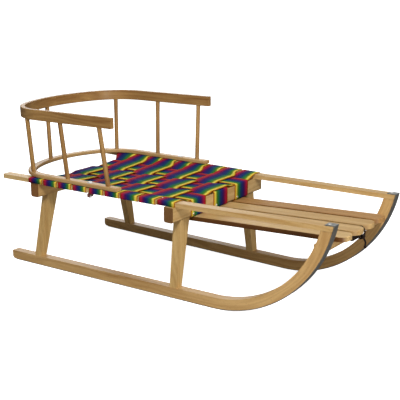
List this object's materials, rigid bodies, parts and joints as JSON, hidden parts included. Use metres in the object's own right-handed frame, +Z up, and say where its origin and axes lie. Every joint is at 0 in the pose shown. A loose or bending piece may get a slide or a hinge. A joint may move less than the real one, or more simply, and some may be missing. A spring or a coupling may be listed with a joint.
{
  "type": "child's wooden sled with backrest",
  "caption": "Low wooden sled on curved runners with steel strips, a woven webbing seat, a slatted footrest and a bent-wood backrest with spindles.",
  "frame": {"origin": "on the ground under the middle of the sled", "axes": "+X to the front, +Y to the rider's left, +Z up"},
  "size_m": [0.9125, 0.408, 0.4022],
  "materials": {
    "beech": "clear satin lacquer",
    "bent_beech": "clear satin lacquer",
    "footrest_beech": "clear satin lacquer",
    "steel_strip": "dull rolled steel",
    "zinc_steel": "zinc plated",
    "striped_webbing": "woven polyester in rainbow stripes",
    "dark_cord": "braided cord"
  },
  "bodies": {
    "root": {"backrest_bolt_left": "zinc_steel", "backrest_bolt_right": "zinc_steel", "backrest_lower_hoop": "bent_beech", "backrest_upper_hoop": "bent_beech", "cross_strap_1": "striped_webbing", "cross_strap_2": "striped_webbing", "cross_strap_3": "striped_webbing", "cross_strap_4": "striped_webbing", "cross_strap_5": "striped_webbing", "cross_strap_6": "striped_webbing", "cross_strap_7": "striped_webbing", "cross_strap_8": "striped_webbing", "cross_strap_9": "striped_webbing", "crossbar_front": "beech", "crossbar_rear": "beech", "footrest_crossbar": "footrest_beech", "footrest_slat_1": "footrest_beech", "footrest_slat_2": "footrest_beech", "footrest_slat_3": "footrest_beech", "footrest_slat_4": "footrest_beech", "leg_front_left": "beech", "leg_front_right": "beech", "leg_rear_left": "beech", "leg_rear_right": "beech", "long_strap_left": "striped_webbing", "long_strap_middle": "striped_webbing", "long_strap_right": "striped_webbing", "runner_left": "beech", "runner_right": "beech", "runner_strip_left": "steel_strip", "runner_strip_right": "steel_strip", "side_rail_left": "beech", "side_rail_right": "beech", "spindle_back": "bent_beech", "spindle_left_front": "bent_beech", "spindle_left_middle": "bent_beech", "spindle_left_rear": "bent_beech", "spindle_right_front": "bent_beech", "spindle_right_middle": "bent_beech", "spindle_right_rear": "bent_beech", "tow_cord_coil": "dark_cord", "tow_cord_end_knot": "dark_cord", "tow_cord_knot": "dark_cord", "tow_cord_loop": "dark_cord", "tow_cord_tail": "dark_cord", "wing_nut_left": "zinc_steel", "wing_nut_right": "zinc_steel"}
  },
  "joints": []
}
